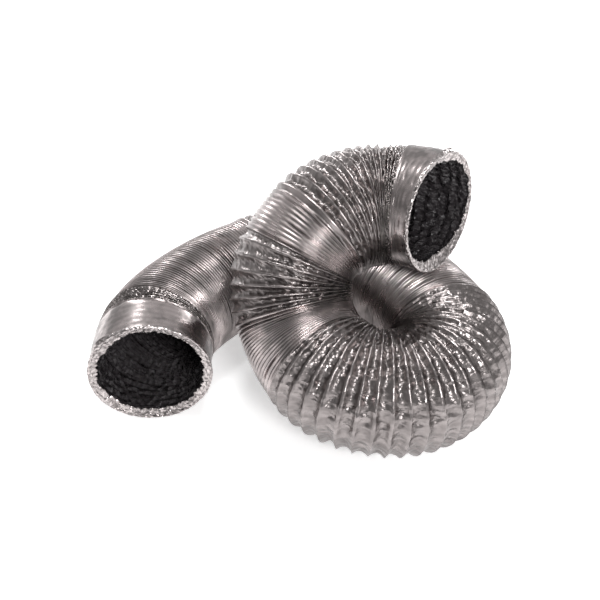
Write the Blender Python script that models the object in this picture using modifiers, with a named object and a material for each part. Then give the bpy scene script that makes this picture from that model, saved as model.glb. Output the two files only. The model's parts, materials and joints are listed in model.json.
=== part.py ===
"""Flexible foil duct for 150 mm ventilation spigots, lying in a loop with both ends open.

The duct is a pleated foil skin over a spring wire helix, with a black plastic liner inside.
Every stretch is laid along one smooth route. Stretches are split where the duct bends or
stretches, so each moving body has its own skin, wire and liner.
Units are metres, +Z is up.
"""
import math

import bmesh
import bpy
import numpy
from mathutils import Matrix, Vector

# ---- sizes of the tube, from the inside out ----
LINER_RADIUS = 0.0680       # outside of the liner, the size that the mouths and the loop follow
LINER_WALL = 0.0008
FOIL_WALL = 0.0008
WIRE_DIAMETER = 0.0012
PLEAT_DEPTH = 0.0060        # crest to valley where the pleats are open
STACK_DEPTH = 0.0015
VALLEY_CLEARANCE = 0.0032   # from the liner to the foil at the bottom of an open pleat
STACK_CLEARANCE = 0.0047    # the same in the closed-up stacks
CUFF_CLEARANCE = 0.0077     # from the liner to the smooth bands at the mouths
WIRE_CLEARANCE = 0.0012     # from the inside of a crest to the wire
PLEAT_RADIUS = LINER_RADIUS + VALLEY_CLEARANCE + FOIL_WALL + PLEAT_DEPTH
STACK_RADIUS = LINER_RADIUS + STACK_CLEARANCE + FOIL_WALL + STACK_DEPTH
CUFF_RADIUS = LINER_RADIUS + CUFF_CLEARANCE + FOIL_WALL

# ---- spacing of the wire's turns ----
PLEAT_PITCH = 0.027         # one modelled turn stands for two or three real ones
STACK_PITCH = 0.044
NECK_PITCH = 0.012
CUFF_WIRE_PITCH = 0.022

# ---- hems at the mouths ----
RIM_WIDTH = 0.004           # flat ring at the very end
RIM_THICKNESS = 0.002
HEM_WIDTH = 0.012           # how far the foil is turned in
HEM_DEPTH = 0.010
HEM_WALL = 0.0012

# ---- gaps ----
JOINT_GAP = 0.0005          # between one stretch and the next
CROSSING_GAP = 0.004        # between the upper run and the run that it lies across

# ---- lengths of the stretches at the mouths, from each mouth inwards ----
LEFT_CUFF = 0.056
LEFT_NECK = 0.024
FRONT_STACK = 0.022
LEFT_BEND = 0.038
RIGHT_CUFF = 0.054
RIGHT_NECK = 0.022
RIGHT_PLEATS = 0.026

# ---- lengths of the stretches of the loop, which turns wider with a wider tube ----
STACK_A = 1.667 * PLEAT_RADIUS
STACK_B = 2.308 * PLEAT_RADIUS
LOOP_BEND = 3.462 * PLEAT_RADIUS
STACK_D = 0.962 * PLEAT_RADIUS
CLIMB_PLEATS = 0.962 * PLEAT_RADIUS
STACK_F = 0.487 * PLEAT_RADIUS
RIGHT_BEND = 0.923 * PLEAT_RADIUS

# ---- facets ----
SIDES = 14
LINER_STEP = 0.025          # longest straight piece between two rings of a plain tube
SAMPLE_STEP = 0.0005

# The route of the duct's middle, as (x, y, level): x and y in pleat radii, and level from
# 0 where the duct lies on the floor to 1 where it lies on its own lower run.
ROUTE = (
    (-2.40, -1.92, -0.01), (-2.40, -0.96, 0.0), (-1.86, 0.10, 0.0), (-0.77, 1.05, 0.0),
    (0.45, 1.35, 0.0), (1.54, 0.71, 0.0), (2.22, -0.32, 0.0), (2.45, -1.49, 0.0),
    (1.76, -2.33, 0.01), (0.71, -2.27, 0.06), (0.01, -1.41, 0.22), (-0.13, -0.83, 0.57),
    (0.35, -0.36, 0.87), (1.13, 0.0, 0.955), (1.84, -0.12, 0.985), (2.24, -0.40, 1.01),
)
# Where the loop opens, in pleat radii: the middle of the big bend.
LOOP_AXIS = (1.33, -1.33)


# ---------------------------------------------------------------- the route
class Route:
    """A natural cubic spline through the route's points, measured along its length."""

    def __init__(self, points):
        points = numpy.array(points, dtype=float)
        knots = numpy.linalg.norm(numpy.diff(points, axis=0), axis=1)
        knots = numpy.concatenate(([0.0], numpy.cumsum(knots)))
        bends = self.second_derivatives(points, knots)
        fine = numpy.arange(0.0, knots[-1], SAMPLE_STEP)
        fine = numpy.append(fine, knots[-1])
        span = numpy.clip(numpy.searchsorted(knots, fine, side="right") - 1, 0, len(knots) - 2)
        width = (knots[span + 1] - knots[span])[:, None]
        after = (fine - knots[span])[:, None]
        before = width - after
        self.centres = (
            bends[span] * before ** 3 / (6 * width)
            + bends[span + 1] * after ** 3 / (6 * width)
            + (points[span] / width - bends[span] * width / 6) * before
            + (points[span + 1] / width - bends[span + 1] * width / 6) * after
        )
        steps = numpy.linalg.norm(numpy.diff(self.centres, axis=0), axis=1)
        self.stations = numpy.concatenate(([0.0], numpy.cumsum(steps)))
        self.headings = numpy.gradient(self.centres, self.stations, axis=0)
        self.length = float(self.stations[-1])

    @staticmethod
    def second_derivatives(points, knots):
        widths = numpy.diff(knots)
        count = len(points)
        matrix = numpy.identity(count)
        right = numpy.zeros((count, 3))
        for i in range(1, count - 1):
            matrix[i, i - 1] = widths[i - 1]
            matrix[i, i] = 2 * (widths[i - 1] + widths[i])
            matrix[i, i + 1] = widths[i]
            slope_after = (points[i + 1] - points[i]) / widths[i]
            slope_before = (points[i] - points[i - 1]) / widths[i - 1]
            right[i] = 6 * (slope_after - slope_before)
        return numpy.linalg.solve(matrix, right)

    def centre(self, station):
        return Vector([numpy.interp(station, self.stations, self.centres[:, k]) for k in range(3)])

    def heading(self, station):
        row = [numpy.interp(station, self.stations, self.headings[:, k]) for k in range(3)]
        return Vector(row).normalized()

    def bend(self, point):
        """Where a point of a straight duct along +X comes to lie on the route."""
        heading = self.heading(point[0])
        left = Vector((0, 0, 1)).cross(heading).normalized()
        up = heading.cross(left)
        return self.centre(point[0]) + left * point[1] + up * point[2]


def route_points():
    rise = 2 * PLEAT_RADIUS + CROSSING_GAP
    for x, y, level in ROUTE:
        yield x * PLEAT_RADIUS, y * PLEAT_RADIUS, PLEAT_RADIUS + level * rise


# ---------------------------------------------------------------- stretches
class Stretch:
    """One stretch of duct between two stations of the route."""

    def __init__(self, start, end, crest, depth, pitch):
        self.start = start + JOINT_GAP / 2
        self.end = end - JOINT_GAP / 2
        self.crest = crest
        self.depth = depth
        self.pitches = max(1, round((self.end - self.start) / pitch))
        self.pitch = (self.end - self.start) / self.pitches
        self.turns = self.pitches + 1

    def wire_station(self, turn):
        """Station of the wire after this many turns; the first and last turns lie flat."""
        return min(max(self.start + (turn - 1) * self.pitch, self.start), self.end)


def lay_out(route):
    """Name every stretch and find its stations, counting in from both mouths."""
    pleats = (PLEAT_RADIUS, PLEAT_DEPTH, PLEAT_PITCH)
    short_pleats = (PLEAT_RADIUS, PLEAT_DEPTH / 2, NECK_PITCH)
    stack = (STACK_RADIUS, STACK_DEPTH, STACK_PITCH)
    short_stack = (STACK_RADIUS, STACK_DEPTH, NECK_PITCH)
    cuff = (CUFF_RADIUS, 0.0, CUFF_WIRE_PITCH)
    from_left = (
        ("left_cuff", LEFT_CUFF, cuff),
        ("left_neck", LEFT_NECK, short_pleats),
        ("front_stack", FRONT_STACK, short_stack),
        ("left_bend", LEFT_BEND, short_stack),
        ("stack_a", STACK_A, stack),
    )
    from_right = (
        ("right_cuff", RIGHT_CUFF, cuff),
        ("right_neck", RIGHT_NECK, short_pleats),
        ("right_pleats", RIGHT_PLEATS, pleats),
        ("right_bend", RIGHT_BEND, pleats),
        ("stack_f", STACK_F, stack),
        ("climb_pleats", CLIMB_PLEATS, pleats),
        ("stack_d", STACK_D, stack),
        ("loop_bend", LOOP_BEND, pleats),
        ("stack_b", STACK_B, stack),
    )
    stretches = {}
    low = 0.0
    for name, length, kind in from_left:
        stretches[name] = Stretch(low, low + length, *kind)
        low += length
    high = route.length
    for name, length, kind in from_right:
        stretches[name] = Stretch(high - length, high, *kind)
        high -= length
    stretches["under_pleats"] = Stretch(low, high, *pleats)
    return stretches


# ---------------------------------------------------------------- making meshes
def side_angle(index):
    """Angle of a side's corner, with the middle of one side straight down."""
    return -math.pi / 2 + (index + 0.5) * 2 * math.pi / SIDES


def corner_radius(radius):
    """Radius of the corners of a many-sided tube whose flats lie at this radius."""
    return radius / math.cos(math.pi / SIDES)


def helix_point(station, radius, index):
    reach = corner_radius(radius)
    angle = side_angle(index)
    return station, reach * math.cos(angle), reach * math.sin(angle)


def new_object(name, data, material, collection):
    item = bpy.data.objects.new(name, data)
    item.data.materials.append(material)
    collection.objects.link(item)
    return item


def pleated_skin(name, stretch, route, material, collection):
    """A thin wall whose crests follow the wire and whose valleys fold in between its turns."""
    skin = bmesh.new()
    flat_turn = SIDES
    last = stretch.turns * SIDES

    def surface(inset):
        crests = []
        for i in range(last + flat_turn + 1):
            station = stretch.wire_station(i / SIDES)
            crests.append(skin.verts.new(route.bend(helix_point(station, stretch.crest - inset, i))))
        valleys = []
        for i in range(last + 1):
            low = stretch.wire_station(i / SIDES)
            high = stretch.wire_station(i / SIDES + 1)
            fold = stretch.depth * local_opening(route, (low + high) / 2, i, high - low, stretch)
            point = helix_point((low + high) / 2, stretch.crest - inset - fold, i)
            valleys.append(skin.verts.new(route.bend(point)))
        return crests, valleys

    outer, outer_valleys = surface(0.0)
    inner, inner_valleys = surface(FOIL_WALL)
    for i in range(last):
        turn = i + SIDES
        skin.faces.new((outer[i], outer[i + 1], outer_valleys[i + 1], outer_valleys[i]))
        skin.faces.new((outer_valleys[i], outer_valleys[i + 1], outer[turn + 1], outer[turn]))
        skin.faces.new((inner[i + 1], inner[i], inner_valleys[i], inner_valleys[i + 1]))
        skin.faces.new((inner_valleys[i + 1], inner_valleys[i], inner[turn], inner[turn + 1]))
    for i in range(flat_turn):
        skin.faces.new((outer[i + 1], outer[i], inner[i], inner[i + 1]))
        j = last + i
        skin.faces.new((outer[j], outer[j + 1], inner[j + 1], inner[j]))
    bmesh.ops.remove_doubles(skin, verts=skin.verts, dist=1e-6)
    bmesh.ops.recalc_face_normals(skin, faces=skin.faces)
    data = bpy.data.meshes.new(name)
    skin.to_mesh(data)
    skin.free()
    return new_object(name, data, material, collection)


def local_opening(route, station, index, height, stretch):
    """Share of the full fold: pleats squeezed on the inside of a bend fold less."""
    reach = 0.001
    here = route.bend(helix_point(station - reach, stretch.crest, index))
    there = route.bend(helix_point(station + reach, stretch.crest, index))
    squeeze = min(1.0, (there - here).length / (2 * reach))
    return squeeze * height / stretch.pitch


def turned_skin(name, profile, route, material, collection):
    """A closed profile of (station, radius) points, turned into a tube and laid on the route."""
    outline = bpy.data.meshes.new(name + "_outline")
    tilt = math.pi / SIDES
    corners = []
    for station, radius in profile:
        reach = corner_radius(radius)
        corners.append((station, reach * math.sin(tilt), reach * math.cos(tilt)))
    count = len(corners)
    outline.from_pydata(corners, [(i, (i + 1) % count) for i in range(count)], [])
    blank = bpy.data.objects.new(name + "_blank", outline)
    collection.objects.link(blank)
    screw = blank.modifiers.new("turn", "SCREW")
    screw.axis = "X"
    screw.steps = SIDES
    screw.render_steps = SIDES
    screw.use_merge_vertices = True
    screw.merge_threshold = 0.00001
    turned = blank.evaluated_get(bpy.context.evaluated_depsgraph_get())
    data = bpy.data.meshes.new_from_object(turned)
    data.name = name
    bpy.data.objects.remove(blank)
    bpy.data.meshes.remove(outline)
    for vertex in data.vertices:
        vertex.co = route.bend(vertex.co)
    data.materials.clear()
    shell = bmesh.new()
    shell.from_mesh(data)
    bmesh.ops.recalc_face_normals(shell, faces=shell.faces)
    shell.to_mesh(data)
    shell.free()
    return new_object(name, data, material, collection)


def tube_profile(start, end, radius, wall):
    """A wall's outline, with a ring at least every LINER_STEP so that it follows the bends."""
    rings = max(1, math.ceil((end - start) / LINER_STEP))
    stations = [start + (end - start) * k / rings for k in range(rings + 1)]
    outer = [(station, radius) for station in stations]
    inner = [(station, radius - wall) for station in reversed(stations)]
    return outer + inner


def wire_helix(name, stretches, route, material, collection):
    """The spring wire of stretches that follow each other, wound as one round wire."""
    crest = min(stretch.crest for stretch in stretches)
    radius = crest - FOIL_WALL - WIRE_CLEARANCE - WIRE_DIAMETER / 2
    clear = WIRE_DIAMETER / 2 + JOINT_GAP
    low = stretches[0].start + clear
    high = stretches[-1].end - clear
    points = []
    for stretch in stretches:
        for i in range(SIDES + 1, stretch.turns * SIDES + 1):
            station = stretch.wire_station(i / SIDES)
            if low < station < high:
                points.append(route.bend(helix_point(station, radius, i)))
    wire = bpy.data.curves.new(name, "CURVE")
    wire.dimensions = "3D"
    wire.bevel_depth = WIRE_DIAMETER / 2
    wire.bevel_resolution = 0
    wire.use_fill_caps = True
    spline = wire.splines.new("POLY")
    spline.points.add(len(points) - 1)
    for point, place in zip(spline.points, points):
        point.co = (*place, 1.0)
    return new_object(name, wire, material, collection)


# ---------------------------------------------------------------- pieces
def make_material(name, colour, metallic, roughness):
    material = bpy.data.materials.new(name)
    material.use_nodes = True
    shader = material.node_tree.nodes["Principled BSDF"]
    shader.inputs["Base Color"].default_value = (*colour, 1.0)
    shader.inputs["Metallic"].default_value = metallic
    shader.inputs["Roughness"].default_value = roughness
    return material


def hem_profile(end, inward):
    """Foil folded over the end: a flat rim, then a lip that slopes into the mouth."""
    outside = CUFF_RADIUS
    rim = outside - RIM_WIDTH
    lip = outside - HEM_WIDTH
    return (
        (end, outside),
        (end, rim),
        (end + inward * HEM_DEPTH, lip),
        (end + inward * HEM_DEPTH, lip + HEM_WALL),
        (end + inward * RIM_THICKNESS, rim + HEM_WALL),
        (end + inward * RIM_THICKNESS, outside),
    )


def add_mouth(side, stretch, route, materials, collection):
    """The smooth band, turned-in hem, liner and wire at one open end."""
    if side == "left":
        end, inward = 0.0, 1.0
    else:
        end, inward = route.length, -1.0
    behind_rim = end + inward * (RIM_THICKNESS + JOINT_GAP)
    behind_lip = end + inward * (HEM_DEPTH + JOINT_GAP)
    far = stretch.end if side == "left" else stretch.start
    cuff = f"{side}_cuff"
    pieces = [
        turned_skin(f"{side}_hem", hem_profile(end, inward), route, materials["foil"], collection),
        turned_skin(f"{cuff}_foil", tube_profile(*sorted((behind_rim, far)), CUFF_RADIUS, FOIL_WALL),
                    route, materials["foil"], collection),
        turned_skin(f"{cuff}_liner", tube_profile(*sorted((behind_lip, far)), LINER_RADIUS, LINER_WALL),
                    route, materials["liner"], collection),
    ]
    low, high = sorted((behind_lip, far))
    coil = Stretch(low, high, CUFF_RADIUS, 0.0, CUFF_WIRE_PITCH)
    pieces.append(wire_helix(f"{cuff}_wire", [coil], route, materials["wire"], collection))
    return pieces


def add_run(name, parts, stretches, route, materials, collection):
    """The foil of each part, and one liner and one wire along all of them."""
    chosen = [stretches[part] for part in parts]
    start, end = chosen[0].start, chosen[-1].end
    pieces = []
    for part, stretch in zip(parts, chosen):
        pieces.append(pleated_skin(f"{part}_foil", stretch, route, materials["foil"], collection))
    pieces.append(turned_skin(f"{name}_liner", tube_profile(start, end, LINER_RADIUS, LINER_WALL),
                              route, materials["liner"], collection))
    pieces.append(wire_helix(f"{name}_wire", chosen, route, materials["wire"], collection))
    return pieces


# ---------------------------------------------------------------- bodies and their axes
def add_pivot(name, place, parent, collection):
    pivot = bpy.data.objects.new(name, None)
    collection.objects.link(pivot)
    pivot.parent = parent
    pivot["place"] = place
    above = Vector(parent["place"]) if parent else Vector()
    pivot.location = Vector(place) - above
    return pivot


def hang_on(pieces, pivot):
    """Give each piece its body's pivot as parent and origin, without moving it."""
    away = Matrix.Translation(-Vector(pivot["place"]))
    for piece in pieces:
        piece.data.transform(away)
        piece.parent = pivot


def stand_on_origin(base, collection):
    """Move the whole duct so that its box stands on the floor, centred on the origin."""
    bpy.context.view_layer.update()
    graph = bpy.context.evaluated_depsgraph_get()
    corners = []
    for item in collection.objects:
        if item.type == "EMPTY":
            continue
        shape = item.evaluated_get(graph)
        data = shape.to_mesh()
        corners += [item.matrix_world @ vertex.co for vertex in data.vertices]
        shape.to_mesh_clear()
    low = Vector([min(corner[k] for corner in corners) for k in range(3)])
    high = Vector([max(corner[k] for corner in corners) for k in range(3)])
    base.location = (-(low.x + high.x) / 2, -(low.y + high.y) / 2, -low.z)


def main():
    for item in list(bpy.data.objects):
        bpy.data.objects.remove(item, do_unlink=True)
    collection = bpy.data.collections.new("flexible_foil_duct")
    bpy.context.scene.collection.children.link(collection)
    materials = {
        "foil": make_material("aluminium_foil", (0.62, 0.60, 0.60), 1.0, 0.35),
        "liner": make_material("black_liner_film", (0.012, 0.012, 0.013), 0.0, 0.30),
        "wire": make_material("spring_wire", (0.45, 0.45, 0.46), 1.0, 0.40),
    }
    route = Route(list(route_points()))
    stretches = lay_out(route)

    def middle(name):
        return route.centre((stretches[name].start + stretches[name].end) / 2)

    loop_axis = (LOOP_AXIS[0] * PLEAT_RADIUS, LOOP_AXIS[1] * PLEAT_RADIUS, PLEAT_RADIUS)
    base = add_pivot("lower_run", (0, 0, 0), None, collection)
    left_end = add_pivot("left_end", middle("left_bend"), base, collection)
    left_mouth = add_pivot("left_mouth", middle("left_neck"), left_end, collection)
    upper_run = add_pivot("upper_run", loop_axis, base, collection)
    right_end = add_pivot("right_end", middle("right_bend"), upper_run, collection)
    right_mouth = add_pivot("right_mouth", middle("right_neck"), right_end, collection)
    runs = (
        ("left_neck", ("left_neck",), left_end),
        ("front_stack", ("front_stack",), left_end),
        ("left_bend", ("left_bend",), base),
        ("lower_run", ("stack_a", "under_pleats", "stack_b"), base),
        ("loop_bend", ("loop_bend",), base),
        ("upper_run", ("stack_d", "climb_pleats", "stack_f"), upper_run),
        ("right_bend", ("right_bend",), upper_run),
        ("right_pleats", ("right_pleats",), right_end),
        ("right_neck", ("right_neck",), right_end),
    )
    for name, parts, pivot in runs:
        hang_on(add_run(name, parts, stretches, route, materials, collection), pivot)
    for side, pivot in (("left", left_mouth), ("right", right_mouth)):
        cuff = stretches[f"{side}_cuff"]
        hang_on(add_mouth(side, cuff, route, materials, collection), pivot)
    stand_on_origin(base, collection)


main()
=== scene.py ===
"""Flexible foil duct, lying in a loop: the visual model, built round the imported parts.

The duct is a spring wire wound in a helix, with pleated aluminium foil outside and a black
film inside. Every stretch follows the same route and the same wire as its neighbours.
Lengths are metres, +Z is up.
"""

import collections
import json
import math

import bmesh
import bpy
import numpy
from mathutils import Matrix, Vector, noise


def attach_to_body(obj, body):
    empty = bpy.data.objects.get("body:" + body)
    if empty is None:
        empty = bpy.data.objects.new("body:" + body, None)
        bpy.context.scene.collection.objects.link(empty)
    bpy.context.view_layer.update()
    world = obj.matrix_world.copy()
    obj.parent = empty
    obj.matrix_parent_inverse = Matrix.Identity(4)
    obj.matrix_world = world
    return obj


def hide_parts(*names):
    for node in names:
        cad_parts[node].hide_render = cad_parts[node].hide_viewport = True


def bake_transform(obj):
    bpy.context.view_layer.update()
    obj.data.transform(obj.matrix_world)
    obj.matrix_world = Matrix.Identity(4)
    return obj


bl_info = {
    "name": "Flexible foil duct",
    "version": (1, 0, 0),
    "blender": (4, 5, 0),
    "location": "3D View > Sidebar > Duct",
    "description": "Builds a pleated foil duct with its liner, wire, hems and studio",
    "category": "Add Mesh",
}

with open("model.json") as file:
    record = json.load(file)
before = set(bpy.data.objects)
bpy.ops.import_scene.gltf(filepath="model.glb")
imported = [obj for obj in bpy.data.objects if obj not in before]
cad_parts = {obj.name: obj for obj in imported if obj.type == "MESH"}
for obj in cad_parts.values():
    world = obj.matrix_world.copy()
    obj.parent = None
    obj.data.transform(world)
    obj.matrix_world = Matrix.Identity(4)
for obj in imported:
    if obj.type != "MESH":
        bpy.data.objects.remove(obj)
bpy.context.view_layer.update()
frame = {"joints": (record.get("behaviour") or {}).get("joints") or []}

# ---------------------------------------------------------------- the route
PLEAT_RADIUS = 0.078
CROSSING_GAP = 0.004
SAMPLE_STEP = 0.0005
ROUTE = (
    (-2.40, -1.92, -0.01), (-2.40, -0.96, 0.0), (-1.86, 0.10, 0.0), (-0.77, 1.05, 0.0),
    (0.45, 1.35, 0.0), (1.54, 0.71, 0.0), (2.22, -0.32, 0.0), (2.45, -1.49, 0.0),
    (1.76, -2.33, 0.01), (0.71, -2.27, 0.06), (0.01, -1.41, 0.22), (-0.13, -0.83, 0.57),
    (0.35, -0.36, 0.87), (1.13, 0.0, 0.955), (1.84, -0.12, 0.985), (2.24, -0.40, 1.01),
)
LOOP_AXIS = (1.33, -1.33)

# Lengths of the stretches, counted in from each mouth; the rest lies under the crossing.
FROM_LEFT = (
    ("left_cuff", 0.056, "cuff"),
    ("left_neck", 0.024, "neck"),
    ("front_stack", 0.022, "fine"),
    ("left_bend", 0.038, "stack"),
    ("stack_a", 1.667 * PLEAT_RADIUS, "stack"),
)
FROM_RIGHT = (
    ("right_cuff", 0.054, "band"),
    ("right_neck", 0.022, "neck"),
    ("right_pleats", 0.026, "fan"),
    ("right_bend", 0.923 * PLEAT_RADIUS, "fan"),
    ("stack_f", 0.487 * PLEAT_RADIUS, "fine"),
    ("climb_pleats", 0.962 * PLEAT_RADIUS, "fan"),
    ("stack_d", 0.962 * PLEAT_RADIUS, "stack"),
    ("loop_bend", 3.462 * PLEAT_RADIUS, "pleats"),
    ("stack_b", 2.308 * PLEAT_RADIUS, "stack"),
)

# The body that each stretch rides on, or the two bodies that it bends or stretches between.
BODIES = {
    "left_cuff": ("left_mouth",),
    "left_neck": ("left_mouth", "left_end"),
    "front_stack": ("left_end",),
    "left_bend": ("left_end", "lower_run"),
    "stack_a": ("lower_run",),
    "under_pleats": ("lower_run",),
    "stack_b": ("lower_run",),
    "loop_bend": ("lower_run", "upper_run"),
    "stack_d": ("upper_run",),
    "climb_pleats": ("upper_run",),
    "stack_f": ("upper_run",),
    "right_bend": ("upper_run", "right_end"),
    "right_pleats": ("right_end",),
    "right_neck": ("right_end", "right_mouth"),
    "right_cuff": ("right_mouth",),
}
# The stretches that one CAD liner and one CAD wire run through.
RUNS = {"stack_a": "lower_run", "under_pleats": "lower_run", "stack_b": "lower_run",
        "stack_d": "upper_run", "climb_pleats": "upper_run", "stack_f": "upper_run"}


def lengths(points):
    """Length along the points up to each of them."""
    return numpy.concatenate(([0.0], numpy.cumsum(numpy.linalg.norm(numpy.diff(points, axis=0), axis=1))))


def spline(points):
    """A natural cubic spline through the points: centres and stations along its length."""
    knots = lengths(points)
    widths = numpy.diff(knots)
    count = len(points)
    matrix = numpy.identity(count)
    right = numpy.zeros((count, 3))
    for i in range(1, count - 1):
        matrix[i, i - 1] = widths[i - 1]
        matrix[i, i] = 2 * (widths[i - 1] + widths[i])
        matrix[i, i + 1] = widths[i]
        slope_after = (points[i + 1] - points[i]) / widths[i]
        slope_before = (points[i] - points[i - 1]) / widths[i - 1]
        right[i] = 6 * (slope_after - slope_before)
    bends = numpy.linalg.solve(matrix, right)
    fine = numpy.append(numpy.arange(0.0, knots[-1], SAMPLE_STEP), knots[-1])
    span = numpy.clip(numpy.searchsorted(knots, fine, side="right") - 1, 0, count - 2)
    width = (knots[span + 1] - knots[span])[:, None]
    after = (fine - knots[span])[:, None]
    before = width - after
    centres = (
        bends[span] * before ** 3 / (6 * width) + bends[span + 1] * after ** 3 / (6 * width)
        + (points[span] / width - bends[span] * width / 6) * before
        + (points[span + 1] / width - bends[span + 1] * width / 6) * after
    )
    return centres, lengths(centres)


def lay_route():
    """The route's centres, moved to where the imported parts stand, its stations and that move."""
    rise = 2 * PLEAT_RADIUS + CROSSING_GAP
    points = numpy.array([(x * PLEAT_RADIUS, y * PLEAT_RADIUS, PLEAT_RADIUS + level * rise)
                          for x, y, level in ROUTE])
    centres, stations = spline(points)
    hinge = next(joint for joint in frame["joints"] if joint["name"] == "loop_open")
    drawn = numpy.array((LOOP_AXIS[0] * PLEAT_RADIUS, LOOP_AXIS[1] * PLEAT_RADIUS, PLEAT_RADIUS))
    move = numpy.array(hinge["pos_m"]) - drawn
    return centres + move, stations, move


CENTRES, STATIONS, MOVE = lay_route()
LENGTH = float(STATIONS[-1])


def centre(station):
    return Vector([numpy.interp(station, STATIONS, CENTRES[:, k]) for k in range(3)])


def heading(station):
    return (centre(station + 0.001) - centre(station - 0.001)).normalized()


def lay_out():
    """Name, start, end and kind of every stretch, from the left mouth to the right."""
    left, right = [], []
    low, high = 0.0, LENGTH
    for name, length, kind in FROM_LEFT:
        left.append((name, low, low + length, kind))
        low += length
    for name, length, kind in FROM_RIGHT:
        right.append((name, high - length, high, kind))
        high -= length
    return left + [("under_pleats", low, high, "pleats")] + right[::-1]


LAYOUT = lay_out()


# ---------------------------------------------------------------- colours
def linear(colour):
    """Linear values of an sRGB hex colour."""
    values = [int(colour[k:k + 2], 16) / 255 for k in (1, 3, 5)]
    return [v / 12.92 if v <= 0.04045 else ((v + 0.055) / 1.055) ** 2.4 for v in values]


# ---------------------------------------------------------------- settings
def length_property(name, description, default):
    return bpy.props.FloatProperty(name=name, description=description, default=default,
                                   unit="LENGTH", precision=4)


class DuctSizes(bpy.types.PropertyGroup):
    """Sizes of the wire, the pleats and the mouths."""
    pleat_radius: length_property("Pleat radius", "Outside of the open pleats", PLEAT_RADIUS)
    stack_radius: length_property("Stack radius", "Outside of the closed-up ribs", 0.0750)
    neck_radius: length_property("Neck radius", "Outside of the crumpled necks", 0.0765)
    cuff_radius: length_property("Cuff radius", "Outside of the smooth mouth bands", 0.0765)
    pleat_pitch: length_property("Pleat pitch", "Spacing of the wire in the open pleats", 0.0118)
    stack_pitch: length_property("Stack pitch", "Spacing of the wire in the stacks", 0.0044)
    neck_pitch: length_property("Neck pitch", "Spacing of the wire in the necks", 0.0052)
    cuff_pitch: length_property("Cuff pitch", "Spacing of the wire in the mouth bands", 0.0090)
    strip: length_property("Half strip", "Half the width of foil between two wires", 0.0132)
    pleat_depth: length_property("Pleat depth", "Deepest fold of an open pleat", 0.0070)
    stack_depth: length_property("Stack depth", "Depth of the groove between two ribs", 0.0018)
    neck_depth: length_property("Neck depth", "Deepest fold of a neck", 0.0042)
    cuff_depth: length_property("Cuff depth", "Hollow between two wires of a mouth band", 0.00004)
    liner_depth: length_property("Liner depth", "Least sag of the liner between two wires", 0.0030)
    groove: length_property("Open groove", "Extra depth where two ribs of a stack part", 0.0030)
    wire: length_property("Wire", "Diameter of the spring wire", 0.0010)
    wire_inset: length_property("Wire inset", "From a crest in to the middle of the wire", 0.0013)
    liner_inset: length_property("Liner inset", "From a crest in to the liner", 0.0024)
    foil_wall: length_property("Foil wall", "Thickness of the foil laminate", 0.0002)
    hem_width: length_property("Hem width", "How far the foil is turned in at a mouth", 0.0110)


def colour_property(name, description, default):
    return bpy.props.FloatVectorProperty(name=name, description=description, size=3,
                                         default=linear(default), subtype="COLOR", min=0, max=1)


class DuctColours(bpy.types.PropertyGroup):
    """Colours of the foil, the film, the wire and the floor."""
    foil: colour_property("Foil", "Face of the crinkled foil", "#989190")
    # The dull end of the foil's random patches, and also the painted shade down in the folds.
    foil_dull_and_shade: colour_property("Foil shade", "Foil where it is dull", "#807A79")
    stack: colour_property("Pressed foil", "Foil edges of the closed-up ribs", "#B7ADAC")
    hem: colour_property("Hem", "Foil turned in at the mouths", "#D0C8C7")
    liner: colour_property("Liner", "Black film inside", "#3A3638")
    wire: colour_property("Wire", "Spring steel wire", "#8E8A86")
    floor: colour_property("Floor", "Pale floor", "#FAFAFA")


# ---------------------------------------------------------------- nodes
def add(tree, kind, inputs=(), **settings):
    """Add a node. Inputs are values, sockets or nodes, in order or by name."""
    node = tree.nodes.new(kind)
    for key, value in settings.items():
        setattr(node, key, value)
    pairs = inputs.items() if isinstance(inputs, dict) else enumerate(inputs)
    for key, value in pairs:
        if value is None:
            continue
        socket = node.inputs[key]
        if isinstance(value, bpy.types.Node):
            value = next(out for out in value.outputs if out.enabled)
        if isinstance(value, bpy.types.NodeSocket):
            tree.links.new(value, socket)
        else:
            socket.default_value = value
    return node


def new_tree(name, inputs, outputs):
    """A geometry tree with named sockets, and its input and output nodes."""
    tree = bpy.data.node_groups.new(name, "GeometryNodeTree")
    for label, kind, default in inputs:
        socket = tree.interface.new_socket(name=label, in_out="INPUT", socket_type=kind)
        if default is not None:
            socket.default_value = default
    for label, kind in outputs:
        tree.interface.new_socket(name=label, in_out="OUTPUT", socket_type=kind)
    return tree, tree.nodes.new("NodeGroupInput").outputs, tree.nodes.new("NodeGroupOutput").inputs


def socket_id(tree, name):
    return next(item.identifier for item in tree.interface.items_tree
                if item.item_type == "SOCKET" and item.in_out == "INPUT" and item.name == name)


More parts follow.
